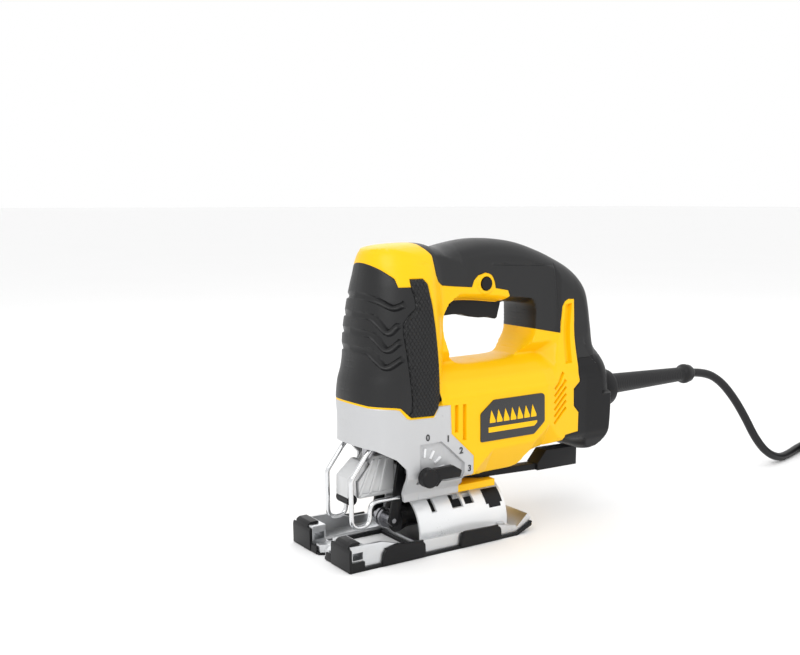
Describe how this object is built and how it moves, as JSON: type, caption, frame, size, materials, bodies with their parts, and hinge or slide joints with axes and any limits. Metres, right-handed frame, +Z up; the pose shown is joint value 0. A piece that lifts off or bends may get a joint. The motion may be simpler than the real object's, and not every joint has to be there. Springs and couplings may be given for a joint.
{
  "type": "jigsaw power tool",
  "caption": "Corded jigsaw with a closed top handle, nose grip, gear case, blade clamp, wire guard, bevelling shoe and a trailing lead with plug.",
  "frame": {"origin": "on the underside of the shoe, under the middle of the tool without its lead", "axes": "+X to the rear (lead end), -X to the blade end, +Z up, -Y is the side with the orbital selector"},
  "size_m": [0.597, 0.124, 0.2055],
  "materials": {
    "yellow_shell": "fine moulded satin",
    "black_grip": "soft overmould, matte",
    "black_plastic": "moulded satin",
    "silver_case": "silver-grey satin",
    "badge_face": "printed plate",
    "bright_wire": "polished",
    "cast_zinc": "cast, blasted",
    "pressed_steel": "zinc plated",
    "hard_steel": "ground",
    "spring_steel": "oiled",
    "bronze": "sintered",
    "copper": "copper",
    "lamination": "stacked sheet",
    "carbon": "pressed carbon",
    "cord_jacket": "smooth flexible sheath"
  },
  "bodies": {
    "housing": {"left_housing": "yellow_shell", "right_housing": "yellow_shell", "left_nose_grip": "black_grip", "right_nose_grip": "black_grip", "side_pads": "black_grip", "left_handle_grip": "black_grip", "right_handle_grip": "black_grip", "left_gear_cover": "silver_case", "right_gear_cover": "silver_case", "rear_cap": "black_plastic", "gear_frame": "cast_zinc", "plunger_bushes": "bronze", "gear_stud": "hard_steel", "foot": "yellow_shell", "stator": "lamination", "field_coils": "copper", "motor_bearings": "hard_steel", "bearing_bracket": "cast_zinc", "carbon_brushes": "carbon", "brush_holders": "bronze", "trigger_spring": "spring_steel", "switch_module": "black_plastic", "lock_spring": "spring_steel", "clamp_seat": "pressed_steel", "clamp_bolt": "hard_steel", "clamp_nut": "hard_steel", "wire_guard": "bright_wire", "chip_tube": "black_plastic", "badges": "badge_face", "case_screws": "hard_steel", "cord_clamp": "black_plastic", "strain_relief": "cord_jacket", "cord": "cord_jacket", "cord_coil": "cord_jacket", "plug": "cord_jacket", "plug_pins": "bright_wire"},
    "gear_train": {"drive_gear": "hard_steel", "crank_pin": "hard_steel", "counterweight": "cast_zinc"},
    "armature": {"armature_shaft": "hard_steel", "armature_core": "lamination", "armature_windings": "copper", "commutator": "copper", "fan": "black_plastic"},
    "plunger": {"plunger": "hard_steel", "blade_clamp": "cast_zinc", "clamp_spring": "spring_steel"},
    "clamp_lever": {"clamp_lever": "cast_zinc"},
    "fork": {"roller_fork": "black_plastic", "fork_pins": "hard_steel"},
    "roller": {"roller": "hard_steel"},
    "trigger": {"trigger": "black_plastic"},
    "lock_button": {"lock_button": "black_plastic"},
    "selector": {"orbital_lever": "black_plastic", "orbital_cam": "hard_steel"},
    "bevel_lever": {"bevel_lever": "black_plastic"},
    "shoe": {"shoe_plate": "pressed_steel", "shoe_cover": "black_plastic", "shoe_bracket": "pressed_steel", "shoe_screws": "hard_steel"}
  },
  "joints": [
    {"name": "armature_spin", "type": "hinge", "parent": "housing", "child": "armature", "pos_m": [-0.0265, 0, 0.088], "axis": [1, 0, 0], "continuous": true},
    {"name": "gear_spin", "type": "hinge", "parent": "housing", "child": "gear_train", "pos_m": [-0.0665, 0, 0.11613], "axis": [1, 0, 0], "continuous": true},
    {"name": "plunger_stroke", "type": "slide", "parent": "housing", "child": "plunger", "axis": [0, 0, 1], "range_m": [-0.01, 0.01]},
    {"name": "clamp_lever_swing", "type": "hinge", "parent": "plunger", "child": "clamp_lever", "pos_m": [-0.0965, 0, 0.059], "axis": [0, 1, 0], "range_deg": [0, 18], "stiffness_Nm_per_rad": 0.3, "springref_deg": -11.46},
    {"name": "fork_swing", "type": "hinge", "parent": "housing", "child": "fork", "pos_m": [-0.0685, 0, 0.065], "axis": [0, 1, 0], "range_deg": [-2, 2], "stiffness_Nm_per_rad": 1},
    {"name": "roller_spin", "type": "hinge", "parent": "fork", "child": "roller", "pos_m": [-0.0775, 0, 0.019], "axis": [0, 1, 0], "continuous": true},
    {"name": "selector_turn", "type": "hinge", "parent": "housing", "child": "selector", "pos_m": [-0.0665, -0.034, 0.0536], "axis": [0, 1, 0], "range_deg": [-80, 0]},
    {"name": "trigger_press", "type": "hinge", "parent": "housing", "child": "trigger", "pos_m": [-0.0295, 0, 0.162], "axis": [0, 1, 0], "range_deg": [-6, 0], "stiffness_Nm_per_rad": 0.6, "springref_deg": 5.73, "deforming": ["trigger_spring"]},
    {"name": "lock_press", "type": "slide", "parent": "housing", "child": "lock_button", "axis": [0, 1, 0], "range_m": [0, 0.003], "stiffness_N_per_m": 300, "springref_m": -0.002, "deforming": ["lock_spring"]},
    {"name": "bevel_lever_swing", "type": "hinge", "parent": "housing", "child": "bevel_lever", "pos_m": [-0.0225, 0, 0.042], "axis": [0, 0, 1], "range_deg": [-50, 0]},
    {"name": "shoe_bevel", "type": "hinge", "parent": "housing", "child": "shoe", "pos_m": [-0.0305, 0, 0.009], "axis": [1, 0, 0], "range_deg": [-45, 45]}
  ],
  "couplings": [
    {"joint": "gear_spin", "follows": "armature_spin", "ratio": -0.25}
  ]
}
